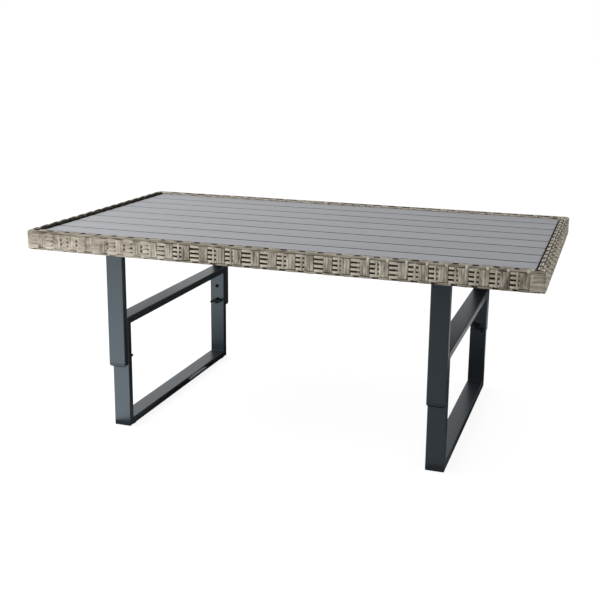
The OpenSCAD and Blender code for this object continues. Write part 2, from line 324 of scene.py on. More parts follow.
def painted_slat_side_shade(g, place):
    """Painted shade on a slat's long sides and ends: dark, and paler towards the left, where more light falls
    into the gaps; and a mask that is 1 on its upper and lower faces."""
    low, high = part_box("slat_1")
    half = 0.5 * (high.z - low.z)
    at = g.axes(place)
    from_middle = g.math("ABSOLUTE", g.math("SUBTRACT", at["Z"], 0.5 * (low.z + high.z)))
    on_face = g.step(from_middle, half - 0.45 * MM, half - 0.1 * MM)
    off_end = g.step(g.math("ABSOLUTE", at["X"]), high.x - 1.0 * MM, high.x - 2.6 * MM)
    dark, pale = (0.025, 0.026, 0.028, 1), (0.17, 0.18, 0.20, 1)
    long_side = g.mix(g.step(at["X"], -0.15, -0.6), dark, pale)
    return g.mix(off_end, dark, long_side), g.math("MULTIPLY", on_face, off_end)


def slat_material():
    """Grey composite board: fine brushed grain along its length, with a satin surface."""
    material, shader = new_material("composite_slat")
    g = Graph(material)
    place = g.position()
    fibres = g.noise(g.stretched(place, (9, 900, 900)), detail=4.0, roughness=0.6)
    bands = g.noise(g.stretched(place, (1.2, 45, 45)), detail=2.0)
    shade = g.math("ADD", g.math("MULTIPLY", fibres, 0.6), g.math("MULTIPLY", bands, 0.4))
    stops = [(0.25, (0.285, 0.29, 0.316)), (0.5, (0.36, 0.366, 0.397)), (0.78, (0.44, 0.446, 0.475))]
    # the long sides and ends get painted shade, paler towards the left
    side, face = painted_slat_side_shade(g, place)
    g.put(shader.inputs["Base Color"], g.mix(face, side, g.ramp(shade, stops)))
    g.put(shader.inputs["Roughness"], g.span(fibres, 0.36, 0.52))
    shader.inputs["Specular IOR Level"].default_value = 0.45
    g.bump(shade, 0.0003, 0.5)
    return material


def powder_coat_material():
    """Anthracite powder coat: slightly blue, with orange peel and fine speckle."""
    material, shader = new_material("powder_coat")
    g = Graph(material)
    place = g.position()
    peel = g.noise(place, scale=650.0, detail=2.0)
    speckle = g.noise(place, scale=2600.0, detail=1.0)
    stops = [(0.3, (0.010, 0.0135, 0.018)), (0.7, (0.018, 0.024, 0.031))]
    g.put(shader.inputs["Base Color"], g.ramp(speckle, stops))
    g.put(shader.inputs["Roughness"], g.span(peel, 0.28, 0.38))
    shader.inputs["Specular IOR Level"].default_value = 0.78
    shader.inputs["Specular Tint"].default_value = (0.76, 0.91, 1.0, 1)
    g.bump(peel, 0.00012, 0.5)
    return material


def black_plastic_material():
    """Moulded black plastic with a fine grain. A piece's tone is its sheen: 0 is matt, 1 has a sheen, and
    below 0 it is dull, which the caps' lower lips use as painted shade."""
    material, shader = new_material("black_plastic")
    g = Graph(material)
    grain = g.noise(g.position(), scale=1800.0, detail=2.0)
    sheen = g.attribute("tone")
    stops = [(0.3, (0.006, 0.006, 0.007)), (0.7, (0.013, 0.013, 0.015))]
    g.put(shader.inputs["Base Color"], g.ramp(grain, stops))
    rough = g.math("MULTIPLY_ADD", sheen, -0.12, g.span(grain, 0.42, 0.58))
    g.put(shader.inputs["Roughness"], rough)
    g.put(shader.inputs["Specular IOR Level"], g.math("MULTIPLY_ADD", sheen, 0.50, 0.22))
    shader.inputs["Specular Tint"].default_value = (0.80, 0.93, 1.0, 1)
    g.bump(grain, 0.00008, 0.6)
    return material


def steel_material(name, dark, light, roughness):
    """Plated steel with a faintly uneven finish."""
    material, shader = new_material(name)
    g = Graph(material)
    mottle = g.noise(g.position(), scale=420.0, detail=3.0)
    g.put(shader.inputs["Base Color"], g.ramp(mottle, [(0.3, dark), (0.7, light)]))
    g.put(shader.inputs["Roughness"], g.span(mottle, roughness - 0.08, roughness + 0.08))
    shader.inputs["Metallic"].default_value = 1.0
    g.bump(mottle, 0.00005, 0.4)
    return material


# -------------------- mesh helpers

def piece_from_grid(name, grids, material):
    """Joins swept grids into one smooth object. A grid is (points[rows, ring, 3], attributes, closed)."""
    vertices, faces = [], []
    along, across, tone = [], [], []
    start = 0
    for points, values, closed in grids:
        rows, ring = points.shape[:2]
        vertices.append(points.reshape(-1, 3))
        index = start + np.arange(rows * ring).reshape(rows, ring)
        here = index if closed else index[:-1]
        after = np.roll(index, -1, axis=0) if closed else index[1:]
        quads = np.stack([here, np.roll(here, -1, axis=1), np.roll(after, -1, axis=1), after], axis=-1)
        faces.extend(quads.reshape(-1, 4).tolist())
        if not closed:
            faces.append(index[0][::-1].tolist())
            faces.append(index[-1].tolist())
        along.append(values[0].ravel())
        across.append(values[1].ravel())
        tone.append(values[2].ravel())
        start += rows * ring
    mesh = bpy.data.meshes.new(name)
    mesh.from_pydata(np.concatenate(vertices).tolist(), [], faces)
    for label, data in (("along", along), ("across", across), ("tone", tone)):
        layer = mesh.attributes.new(label, "FLOAT", "POINT")
        layer.data.foreach_set("value", np.concatenate(data).astype(np.float32))
    mesh.polygons.foreach_set("use_smooth", [True] * len(mesh.polygons))
    mesh.materials.append(material)
    mesh.validate()
    piece = bpy.data.objects.new(name, mesh)
    bpy.context.scene.collection.objects.link(piece)
    return piece


def ease(t):
    """0 to 1 with soft ends."""
    t = np.clip(t, 0.0, 1.0)
    return t * t * (3 - 2 * t)


# -------------------- woven rim

RIM_LOW, RIM_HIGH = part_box("woven_rim_front")
RIM_HEIGHT = RIM_HIGH.z - RIM_LOW.z
RIM_WIDTH = RIM_HIGH.y - RIM_LOW.y
HALF_LENGTH = RIM_HIGH.x
HALF_DEPTH = -RIM_LOW.y
EDGE_RADIUS = 4 * MM           # of the rim's section
CORNER_RADIUS = 6 * MM         # of the rim's outline, seen from above
FAR = 9.0                      # further away than anything here

# Widths and distances of the strands
STRAND_THICK = 1.2 * MM
STRAND_WIDTH = 7.3 * MM
FIRST_ROW = 9.4 * MM - EDGE_RADIUS    # place of the lowest strand on the outer face
ROW_PITCH = 11.6 * MM
WRAP_WIDTH = 7.95 * MM
WRAP_PITCH = 8.0 * MM
WRAP_POINTS = 72               # rings in one turn of the winding
GROUP_TURNS = 3
LAST_TURN = GROUP_TURNS - 1
GROUP_PITCH = 48.4 * MM        # from one group of wraps to the next
HALF_GROUP = 0.5 * GROUP_TURNS * WRAP_PITCH
CROSSING_WIDTH = 5.4 * MM      # of a turn that crosses the plain rows between two groups
CROSSING_SHIFT = 3.0 * MM      # of that turn from the last turn between the groups

# Heights of a strand's middle over the rim's smooth surface
OVER = 0.30 * MM               # on top
UNDER = -1.9 * MM              # under a group of wraps
EDGE_UNDER = -1.6 * MM         # a strand that dives between the groups
WRAP_UNDER = -1.15 * MM        # a wrap under a long strand
WRAP_BETWEEN = -1.6 * MM       # a wrap between two rows that it passes under
POCKET = -2.4 * MM             # a wrap that leaves a hollow down to the tube
CROSSING_LIFT = 0.8 * MM       # a crossing turn on the outer face
CROSSING_UNDER = -2.2 * MM     # and on the other faces
WRAP_RISE = 2.4 * MM           # length over which a wrap rises at a strand's edge

# Numbers of the long strands, counted up the outer face and on round the section
PLAIN_ROWS = 4                 # so many on the outer face go under the groups
EDGE_ROW = 4                   # on the rim's upper outer edge
LAST_TOP_ROW = 7               # the last one on the rim's top, seen from outside

# Places along the front, in metres from its middle
TIGHT_TO = -0.37               # the weave is tight up to here
OPENING = 0.14                 # and opens over this length
HOLES_FROM = -0.635            # the tight weave shows small holes from here on
CLOSED_FROM = -0.56            # but none between here
CLOSED_TO = -0.475             # and here
HOLES_FADE = 0.02
SPOTS_FROM = 0.20              # some turns are much paler from here on
LOOSE_FROM = 0.25              # one turn of each group passes over the edge strand from here on
ALWAYS_CROSSED_FROM = 0.35     # every gap between groups has a crossing turn from here on

# Tone added along the front, partly painted light: darker at the left end, palest to the right of the middle
FRONT_TONE_AND_LIGHT_AT = (-0.70, -0.34, -0.2, 0.2, 0.45, 0.7)
FRONT_TONE_AND_LIGHT = (-0.04, 0.04, 0.02, 0.16, 0.12, 0.0)    # what is added to the tone there

# Painted shade on the strands round the rim's top on two sides: how much darker they are, and below 0 how
# much paler
TOP_ROWS_PAINTED_SHADE = {"left": {EDGE_ROW: 0.1, EDGE_ROW + 1: 0.25, EDGE_ROW + 2: 0.75, LAST_TOP_ROW: 0.9},
          "rear": {EDGE_ROW: 0.45, EDGE_ROW + 1: 0.7, EDGE_ROW + 2: 0.75, LAST_TOP_ROW: -0.2}}

# Places where a long strand gets a ring, in mm from the middle of a group and of a crossing turn
GROUP_RINGS = (-19.5, -17.6, -15.8, -14.6, -13.6, -12.6, -11.4, -8.0, -5.5, 0.0, 3.2, 5.5,
               8.0, 10.6, 11.6, 12.6, 13.6, 15.0, 16.2, 17.4, 18.8, 22.0, 26.5)
CROSSING_RINGS = (-4.0, -2.2, 0.0, 2.2, 4.0)


def section_parts():
    """The rim's section as stretches: (length, start point or None, start angle, centre or None)."""
    w, h, r = RIM_WIDTH, RIM_HEIGHT, EDGE_RADIUS
    quarter = math.pi * r / 2
    return [
        (h - 2 * r, (0, r), 90, None),
        (quarter, None, 0, (-r, h - r)),
        (w - 2 * r, (-r, h), 180, None),
        (quarter, None, 90, (r - w, h - r)),
        (h - 2 * r, (-w, h - r), 270, None),
        (quarter, None, 180, (r - w, r)),
        (w - 2 * r, (r - w, 0), 0, None),
        (quarter, None, 270, (-r, r)),
    ]


SECTION = section_parts()
SECTION_LENGTH = sum(part[0] for part in SECTION)
FACE_LENGTH = RIM_HEIGHT - 2 * EDGE_RADIUS
ARC_LENGTH = math.pi * EDGE_RADIUS / 2
EDGE_PLACE = FACE_LENGTH + 2.3 * MM    # of the strand on the upper outer edge


def section(s, lift):
    """Point of the rim's section at arc length s, lifted off its surface. Outward is +n, up is +z."""
    s = np.mod(s, SECTION_LENGTH)
    n, z = np.zeros_like(s), np.zeros_like(s)
    begin = 0.0
    for length, start, angle, centre in SECTION:
        inside = (s >= begin) & (s <= begin + length + 1e-12)
        t = s - begin
        if centre is None:
            a = math.radians(angle)
            pn = start[0] + t * math.cos(a) + lift * math.sin(a)
            pz = start[1] + t * math.sin(a) - lift * math.cos(a)
        else:
            a = math.radians(angle) + t / EDGE_RADIUS
            pn = centre[0] + (EDGE_RADIUS + lift) * np.cos(a)
            pz = centre[1] + (EDGE_RADIUS + lift) * np.sin(a)
        n = np.where(inside, pn, n)
        z = np.where(inside, pz, z)
        begin += length
    return n, z


# Half length, distance of the outer face from the middle, and turn in degrees of each side
SIDES = {
    "front": (HALF_LENGTH, HALF_DEPTH, 0),
    "right": (HALF_DEPTH, HALF_LENGTH, 90),
    "rear": (HALF_LENGTH, HALF_DEPTH, 180),
    "left": (HALF_DEPTH, HALF_LENGTH, 270),
}


def on_side(side, u, n, z):
    """Bends the straight rim (u along, n outward, z up) round its corners and puts it on a side."""
    half, out, turn = SIDES[side]
    straight = half - CORNER_RADIUS
    reach = np.minimum(straight, half + n)
    bend = np.clip((np.abs(u) - straight) / CORNER_RADIUS, 0, math.pi / 4)
    radius = np.maximum(CORNER_RADIUS + n, 0)
    at_corner = bend > 0
    x = np.where(at_corner, reach + radius * np.sin(bend), np.minimum(np.abs(u), reach)) * np.sign(u)
    y = np.where(at_corner & (radius > 0), out - CORNER_RADIUS + radius * np.cos(bend), out + n)
    a = math.radians(turn)
    px = x * math.cos(a) + y * math.sin(a)
    py = x * math.sin(a) - y * math.cos(a)
    return np.stack([px, py, RIM_LOW.z + z], axis=-1)


def strand_ring(width, crown):
    """Section of one strand: a slightly crowned top over a flat underside, as (across, height) pairs."""
    top = np.linspace(1, -1, 6)
    pairs = [(0.5 * width * t, STRAND_THICK * (0.5 - crown * abs(t) ** 3)) for t in top]
    pairs += [(-0.42 * width, -0.5 * STRAND_THICK), (0.42 * width, -0.5 * STRAND_THICK)]
    return np.array(pairs)


def group_centres(side):
    """Middles of the groups of wraps along a side, evenly spaced and clear of the corners."""
    half = SIDES[side][0]
    count = int(2 * (half - RIM_WIDTH) / GROUP_PITCH - 0.4) + 1
    return (np.arange(count) - (count - 1) / 2) * GROUP_PITCH


def strand_rows(side):
    """(place round the section, width, tone, whether it runs over the groups) of every long strand."""
    top = FACE_LENGTH + ARC_LENGTH
    inner = top + (RIM_WIDTH - 2 * EDGE_RADIUS) + ARC_LENGTH
    bottom = inner + FACE_LENGTH + ARC_LENGTH
    front = side == "front"
    wide = 6.4 * MM if side in ("front", "rear") else 5.2 * MM
    outer, middle, last = (3.4 * MM, 9.7 * MM, 5.0 * MM) if front else (4.1 * MM, 11.4 * MM, 1.2 * MM)
    rows = [(FIRST_ROW + i * ROW_PITCH, STRAND_WIDTH, 0.80, False) for i in range(PLAIN_ROWS)]
    rows += [(EDGE_PLACE, 7.6 * MM, 0.42, True)]
    rows += [(top + outer, wide, 0.60, front), (top + middle, wide, 0.66, side != "rear")]
    rows += [(inner - last, 5.6 * MM, 0.1 if side == "right" else 0.6, front)]
    upper = inner + FACE_LENGTH - FIRST_ROW
    rows += [(upper - i * ROW_PITCH, STRAND_WIDTH, 0.62, i % 2 == 0) for i in range(PLAIN_ROWS)]
    rows += [(bottom + 3.0 * MM, 6.6 * MM, 0.6, False), (bottom + 11.2 * MM, 6.6 * MM, 0.6, True)]
    rows += [(-1.4 * MM, 7.4 * MM, 0.36, True)]
    # painted shade on the rows round the rim's top
    darker = TOP_ROWS_PAINTED_SHADE.get(side, {})
    return [(*row[:2], row[2] - darker.get(k, 0.0), row[3]) for k, row in enumerate(rows)]


BOTTOM_ROW = len(strand_rows("front")) - 1    # on the rim's lower outer edge


def nearest(u, places):
    """Distance from each u to the nearest of some places."""
    return np.abs(u[:, None] - np.append(places, FAR)[None, :]).min(axis=1)


def tightness(side, u):
    """1 where the weave is tight and its gaps are closed: at the corners, and at the front's left end."""
    half = SIDES[side][0]
    corner = ease((np.abs(u) - half + 60 * MM) / (25 * MM))
    if side == "front":
        return np.maximum(corner, 1 - ease((u - TIGHT_TO) / OPENING))
    return np.maximum(corner, 0.15)


def closed_up(tight):
    """0 to 1 over the last part of the way to a tight weave."""
    return ease((tight - 0.7) / 0.25)


def holes_open(side, u):
    """1 where the tight weave shows its small holes, 0 where it is closed."""
    if side != "front":
        return np.ones_like(u)
    closed = ease((u - CLOSED_FROM) / HOLES_FADE) * (1 - ease((u - CLOSED_TO) / HOLES_FADE))
    return ease((u - HOLES_FROM) / HOLES_FADE) * (1 - closed)


def crossing_places(side, centres):
    """Places of the turns that cross over the plain rows between two groups: on the front and the rear, in
    about half of the gaps, and in all of them towards the front's right end."""
    rng = np.random.default_rng(SEED + 7)
    places = centres + 0.5 * GROUP_PITCH + WRAP_PITCH - CROSSING_SHIFT
    share = 0.55 if side in ("front", "rear") else 0.0
    share = share + 0.45 * (places > ALWAYS_CROSSED_FROM) * (side == "front")
    return places[(rng.random(len(centres)) < share) & (tightness(side, places) < 0.3)]


def covered(u, centres, late, tight):
    """1 where a long strand is under the groups of wraps, 0 between them. It can come up a little late."""
    dive = 2.0 * MM
    cover = np.zeros_like(u)
    for centre, extra, close in zip(centres, late, tight):
        begin = centre - HALF_GROUP + (0.9 + 1.6 * close) * MM
        end = centre + HALF_GROUP - (0.7 + 1.6 * close) * MM + extra
        cover = np.maximum(cover, ease((u - begin + dive) / dive) * (1 - ease((u - end) / dive)))
    return cover


def edge_lift(u, centres, sway):
    """Height of the strand on the front's upper edge: always on top, but for one turn of each loose group."""
    turn = nearest(u, centres[centres > LOOSE_FROM] + WRAP_PITCH)
    return OVER + 0.25 * MM + sway - 1.5 * MM * (1 - ease((turn - 3.2 * MM) / (1.6 * MM)))


def inner_edge_lift(u, centres, dark):
    """Height of the front's strand beside the slats: high at the groups, lower between them and in dashes."""
    between = ease((nearest(u, centres) - 11 * MM) / (3 * MM))
    return OVER + 1.1 * MM - 0.7 * MM * between - 0.5 * MM * dark


def strand_lift(side, u, centres, row, over, rng):
    """Height of a long strand along the rim, either over or under each group of wraps."""
    away = nearest(u, centres)
    sway = 0.12 * MM * np.sin(u * 19 + rng.uniform(0, 6))
    if row == EDGE_ROW and side == "front":
        return edge_lift(u, centres, sway)
    if over:
        on_top = 1 - ease((away - HALF_GROUP - 0.5 * MM) / (2.8 * MM))
        bow = 0.3 * MM * (1 - (away / HALF_GROUP) ** 2)
        high = OVER + 0.25 * MM + np.maximum(bow, 0) + sway
        return EDGE_UNDER + (high - EDGE_UNDER) * on_top
    late = rng.uniform(0.0, 0.6, len(centres)) * MM
    tight = tightness(side, centres)
    if row in (1, 2):
        late = late + 5.4 * MM * closed_up(tight) * holes_open(side, centres)
    cover = covered(u, centres, late, tight)
    bow = 0.35 * MM * ease((away - HALF_GROUP) / (0.25 * GROUP_PITCH))
    dip = 0.0
    if row < PLAIN_ROWS:
        dip = 0.9 * MM * (1 - ease((nearest(u, crossing_places(side, centres)) - 2.2 * MM) / (1.8 * MM)))
    return OVER + (UNDER - OVER) * cover + (1 - cover) * (bow + sway - dip)


def strand_spread(side, u, centres, row):
    """How far a strand spreads into the gaps beside it: fully where the weave is tight, but for its holes."""
    offset = (u[:, None] - centres[None, :]) / GROUP_PITCH
    offset = np.where(offset >= 0, offset, FAR).min(axis=1)
    hole = ease((offset - 0.64) / 0.05) * (offset < 0.90) * (u < centres[-1])
    if row in (0, PLAIN_ROWS - 1):
        hole = 0.25 * hole
    return 1 + 0.70 * tightness(side, u) * (1 - hole * holes_open(side, u))


def along_samples(side, centres):
    """Places along a side where strands get a ring: dense where they dive under the wraps."""
    reach = SIDES[side][0] - CORNER_RADIUS
    end = reach + CORNER_RADIUS * math.pi / 4
    inside = centres[:, None] + np.array(GROUP_RINGS)[None, :] * MM
    outer = np.concatenate([np.linspace(reach - 14 * MM, reach, 4), np.linspace(reach, end, 5)[1:]])
    crossing = crossing_places(side, centres)[:, None] + np.array(CROSSING_RINGS) * MM
    places = np.concatenate([inside.ravel(), outer, -outer, crossing.ravel()])
    places = np.unique(np.round(places, 5))
    return places[(places >= -end - 1e-9) & (places <= end + 1e-9)]


def side_tone_and_painted_light(side, u):
    """What a side adds to the tone of its strands: partly their own tone, partly painted light that evens out
    how the lamps fall. The right side is paler, and the front is palest to the right of its middle.
    """
    if side != "front":
        return np.full_like(u, 0.10 if side == "right" else 0.02)
    return np.interp(u, FRONT_TONE_AND_LIGHT_AT, FRONT_TONE_AND_LIGHT)


def dashes(u, centres):
    """Near 1 in the dashes along the front's inner edge, hollows darkened with painted shade: one between
    every two groups of wraps, and one at each group too, except towards the left end."""
    away = nearest(u, centres)
    at_group = (1 - ease((away - 5.5 * MM) / (2.5 * MM))) * ease((u + 0.2) / 0.1)
    between = 1 - ease((0.5 * GROUP_PITCH - away - 6.5 * MM) / (2.5 * MM))
    return np.maximum(at_group, between) * (0.85 + 0.15 * np.sin(u * 37))


def strand_shade(side, row, tone, uu, lift, across, dark, rng):
    """Tone of a long strand, with painted shade where it lies deep, along its edges and in the dashes. Across
    it is -1 to 1.
    """
    tight = tightness(side, uu)
    blend = (0.35 if row in (EDGE_ROW, BOTTOM_ROW) else 0.85) * tight
    # painted shade where the strand lies deep, under or between the wraps
    deep = ease((-0.3 * MM - lift) / (0.9 * MM))[:, None] * (1 - 0.6 * tight)
    # painted shade along a strand's edges, and on the lower side of the strand on the upper outer edge
    edges = 0.3 * np.abs(across) ** 6 * (1 - tight)
    if row == EDGE_ROW:
        edges = 0.5 * np.clip(-across, 0, 1) ** 2
    shade = tone * (1 - blend) + 0.60 * blend + rng.uniform(-0.08, 0.08) + side_tone_and_painted_light(side, uu)
    return shade - 0.6 * deep - dark[:, None] - edges


def strand_grid(side, u, centres, row, rng):
    """One long strand along a side, as an open grid."""
    place, width, tone, over = strand_rows(side)[row]
    ring = strand_ring(width * rng.uniform(0.94, 1.04), 0.36)
    lift = strand_lift(side, u, centres, row, over, rng)
    drift = 0.35 * MM * np.sin(u * 11 + rng.uniform(0, 6))
    spread = np.ones_like(u) if over else strand_spread(side, u, centres, row)
    # dark is the painted shade of the dashes on the front's inner edge, where the strand also dips
    dark = np.zeros_like(u)
    if side == "front" and row == LAST_TOP_ROW:
        dark = dashes(u, centres)
        lift = inner_edge_lift(u, centres, dark)
    uu = np.repeat(u[:, None], len(ring), axis=1)
    reach = ring[None, :, 0] * spread[:, None]
    n, z = section(place + drift[:, None] + reach, lift[:, None] + ring[None, :, 1])
    shade = strand_shade(side, row, tone, uu, lift, 2 * ring[None, :, 0] / width, dark, rng)
    return on_side(side, uu, n, z), (uu, reach + rng.uniform(0, 5), shade), False


def make_rim_strands(side, material):
    """All strands that run along one side, and the middles of its groups of wraps."""
    rng = np.random.default_rng(SEED + len(side))
    centres = group_centres(side)
    centres = centres + rng.uniform(-2.0, 2.0, len(centres)) * MM
    u = along_samples(side, centres)
    grids = [strand_grid(side, u, centres, row, rng) for row in range(BOTTOM_ROW + 1)]
    return piece_from_grid(f"rim_strands_{side}", grids, material), centres


def pockets(side, in_group, turn):
    """Rows where a turn of the winding lies low beside the strand, which leaves a small dark hollow."""
    if turn == 0:
        return []
    if in_group:
        return [] if side in ("front", "rear") else [EDGE_ROW + 1]
    rows = {"front": [EDGE_ROW + 1, EDGE_ROW + 2, LAST_TOP_ROW], "rear": [EDGE_ROW, EDGE_ROW + 1]}
    return rows.get(side, [EDGE_ROW, EDGE_ROW + 2]) + [BOTTOM_ROW]


def wrap_lift(side, s, in_group, turn, tight, loose):
    """Height of a wrap round the section. In a group it passes over the plain rows; elsewhere, under."""
    rows = strand_rows(side)
    places, widths, over_groups = (np.array([row[k] for row in rows]) for k in (0, 1, 3))
    if side == "front":
        over_groups[EDGE_ROW] = in_group and not (turn == LAST_TURN and loose)
    half = 0.5 * SECTION_LENGTH
    away = np.abs(np.mod(s[:, None] - places[None, :] + half, SECTION_LENGTH) - half)
    row = away.argmin(axis=1)
    close = float(closed_up(tight)) if turn == 0 and not in_group else 0.0
    width = widths[row] * (1 - 0.45 * close)
    at_row = 1 - ease((away.min(axis=1) - 0.5 * width + 0.5 * WRAP_RISE) / WRAP_RISE)
    between = 0.0 if in_group else WRAP_BETWEEN
    between = between + close * (OVER - between)
    on_top = over_groups[row] != in_group
    level = np.where(on_top, OVER + 0.1 * MM, WRAP_UNDER)
    level = np.where(np.isin(row, pockets(side, in_group, turn)), POCKET, level)
    return between + (level - between) * at_row


def wrap_grid(side, path, lift, tone, grain, width=WRAP_WIDTH, stripes=0.35):
    """One turn of the winding round the rim, as a closed grid. Painted shade darkens it where it lies deep,
    and on the left side's inner top.
    """
    ring = strand_ring(width, 0.14)
    s = np.arange(WRAP_POINTS) / WRAP_POINTS * SECTION_LENGTH
    ss = np.repeat(s[:, None], len(ring), axis=1)
    uu = path[:, None] + ring[None, :, 0]
    n, z = section(ss, lift[:, None] + ring[None, :, 1])
    points = on_side(side, uu, n, z)[:, ::-1]
    # painted shade: darker where the wrap lies deep, and on the left side's inner top, which faces away from
    # the light
    deep = ease((OVER - lift - 0.5 * MM) / (0.7 * MM))
    inner_top = ease((s - FACE_LENGTH - ARC_LENGTH - 6 * MM) / (3 * MM)) * (s < 2 * FACE_LENGTH)
    painted_shade_top = 0.7 * inner_top if side == "left" else np.zeros_like(s)
    shade = (tone - 0.75 * deep - painted_shade_top)[:, None] + side_tone_and_painted_light(side, uu)
    across = stripes * np.repeat(ring[None, :, 0], WRAP_POINTS, axis=0) + grain[1]
    return points, (ss + grain[0], across[:, ::-1], shade[:, ::-1]), True


def group_grids(side, middle, s, in_group, rng):
    """The turns of one group of wraps, or those between two groups."""
    tight = float(tightness(side, np.array([middle]))[0])
    loose = side == "front" and middle > LOOSE_FROM
    tone = (0.50 if in_group else 0.42) * (1 - tight) + 0.58 * tight + rng.uniform(-0.05, 0.05)
    wobble = 0.25 * MM * np.sin(2 * math.pi * s / SECTION_LENGTH + rng.uniform(0, 6))
    spot = 0.30 if side != "front" or middle > SPOTS_FROM else 0.10
    at_edge = 1 - ease((np.abs(s - EDGE_PLACE) - 2.5 * MM) / (2 * MM))
    grain = rng.uniform(0, 50, 2)
    stripes = 0.35 * (1 - 0.85 * tight)
    grids = []
    for turn in range(GROUP_TURNS):
        path = middle + (turn - 0.5 * (GROUP_TURNS - 1)) * WRAP_PITCH + wobble
        lift = wrap_lift(side, s, in_group, turn, tight, loose) + rng.uniform(-0.04, 0.04) * MM
        shade = np.full(len(s), tone + rng.uniform(-0.03, 0.03))
        if turn == LAST_TURN and not in_group:
            shade = shade + spot
        if turn == LAST_TURN and in_group and loose:
            shade = shade + 1.3 * spot * at_edge
        turn_grain = grain + (0, stripes * turn * WRAP_PITCH)
        grids.append(wrap_grid(side, path, lift, shade, turn_grain, WRAP_WIDTH, stripes))
    return grids


def crossing_grids(side, centres, s, rng):
    """The turns that cross over the plain rows between groups. They lie deep on the rim's other faces."""
    face = ease((s - 0.2 * MM) / (1.6 * MM)) * (1 - ease((s - FACE_LENGTH) / (3 * MM)))
    lift = CROSSING_UNDER + (CROSSING_LIFT - CROSSING_UNDER) * face
    grids = []
    for place in crossing_places(side, centres):
        wobble = 0.2 * MM * np.sin(2 * math.pi * s / SECTION_LENGTH + rng.uniform(0, 6))
        shade = np.full(len(s), 0.62 + rng.uniform(-0.06, 0.06))
        grids.append(wrap_grid(side, place + wobble, lift, shade, rng.uniform(0, 50, 2), CROSSING_WIDTH))
    return grids


def make_rim_wraps(side, centres, material, in_group):
    """The winding: the groups of wraps over the plain rows, or the wraps between them, which run under."""
    rng = np.random.default_rng(SEED * 3 + len(side) + in_group)
    s = np.arange(WRAP_POINTS) / WRAP_POINTS * SECTION_LENGTH
    gaps = np.append(centres, centres[0] - GROUP_PITCH) + 0.5 * GROUP_PITCH
    grids = []
    for middle in centres if in_group else gaps:
        grids += group_grids(side, middle, s, in_group, rng)
    if not in_group:
        grids += crossing_grids(side, centres, s, rng)
    kind = "wraps" if in_group else "under_wraps"
    return piece_from_grid(f"rim_{kind}_{side}", grids, material)


def make_woven_rim(material):
    """The four woven sides of the table top."""
    for side in SIDES:
        strands, centres = make_rim_strands(side, material)
        wraps = make_rim_wraps(side, centres, material, True)
        under = make_rim_wraps(side, centres, material, False)
        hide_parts(f"woven_rim_{side}")
        for piece in (strands, wraps, under):
            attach(piece, "table_top")


# -------------------- wing screws and guide bolts

# Angle of each wing screw's bar at rest, from +X towards +Z
WING_ANGLES = {"left_front": 0, "left_rear": 8, "right_front": 68, "right_rear": -34}
WING_REACH = 21                # mm from the hub's middle to the bar's tip
TIP_FROM = 17                  # mm from the hub's middle to where the tip starts
THREAD_PITCH = 1.25            # mm, of an M8 thread
# (radius, height) in mm of the wing screw's hub and of the guide bolt's head, whose socket is a hexagon
HUB = [(0, 0.35), (9.3, 0.35), (10.0, 1.0), (10.0, 2.8), (9.1, 3.6), (8.7, 6.0), (8.4, 10.8), (7.6, 12.4),
       (6.2, 13.0), (5.4, 12.6), (0, 12.4)]
BOLT_HEAD = [(0, 0.05), (5.6, 0.05), (6.0, 0.4), (5.95, 1.6), (5.5, 2.8), (4.6, 3.6), (3.4, 4.0),
             (2.55, 3.95), (2.5, 3.8), (2.5, 1.9), (0, 1.7)]
SOCKET_RINGS = (7, 8, 9)       # the socket's rings in that list


def plain_piece(name, grids, material, sheen=0.0):
    """A piece that isn't a strand, its faces turned outward. Its tone is the sheen of black plastic."""
    full = []
    for points, closed in grids:
        nought = np.zeros(points.shape[:2])
        full.append((points, [nought, nought, nought + sheen], closed))
    piece = piece_from_grid(name, full, material)
    shell = bmesh.new()
    shell.from_mesh(piece.data)
    bmesh.ops.recalc_face_normals(shell, faces=shell.faces[:])
    shell.to_mesh(piece.data)
    shell.free()
    return piece


def lathe(profile, count=32, hexagons=()):
    """A turned shape round local z from (radius, height) pairs in mm. Some of its rings can be hexagons."""
    angles = np.arange(count) / count * 2 * math.pi
    flat = 1 / np.cos(np.mod(angles, math.pi / 3) - math.pi / 6)
    rings = []
    for k, (radius, height) in enumerate(profile):
        r = radius * MM * (flat if k in hexagons else np.ones_like(angles))
        z = np.full(count, height * MM)
        rings.append(np.stack([r * np.cos(angles), r * np.sin(angles), z], axis=-1))
    return np.array(rings), False


def threaded_shank(reach):
    """A shank with ridges at the thread's pitch, from -reach up to the head."""
    profile = [(2.6, -reach / MM)]
    for turn in range(int(reach / MM / THREAD_PITCH)):
        z = -reach / MM + (turn + 0.5) * THREAD_PITCH
        profile += [(3.35, z - 0.45), (4.0, z), (3.35, z + 0.45)]
    profile += [(3.35, 0.2), (3.35, 1.0)]
    return lathe(profile, 16)


def wing_bar():
    """The grip, in mm: a rounded bar with two wings, slim at the hub and dished along its top."""
    from_tip = np.array([0, 0.25, 0.7, 1.4, 2.4, 4, 6.5, 9, 12, 15, 18, WING_REACH])
    places = np.unique(np.concatenate([WING_REACH - from_tip, from_tip - WING_REACH]))
    count = 20
    around = np.arange(count) / count * 2 * math.pi
    sections = []
    for x in places:
        tip = max(0.0, (abs(x) - TIP_FROM) / (WING_REACH - TIP_FROM))
        round_off = math.sqrt(max(0.0, 1 - tip ** 2))
        width = (3.1 + 0.9 * float(ease((abs(x) - 8) / 10))) * max(round_off, 0.04)
        top = 14.2 + 1.8 * float(ease((abs(x) - 4) / 12)) - 1.2 * tip ** 3
        low = 5.0 + 1.0 * tip ** 3
        y = width * np.sign(np.cos(around)) * np.abs(np.cos(around)) ** 0.55
        z = 0.5 * (top + low) + 0.5 * (top - low) * np.sign(np.sin(around)) * np.abs(np.sin(around)) ** 0.45
        sections.append(np.stack([np.full(count, x), y, z], axis=-1) * MM)
    return np.array(sections), False


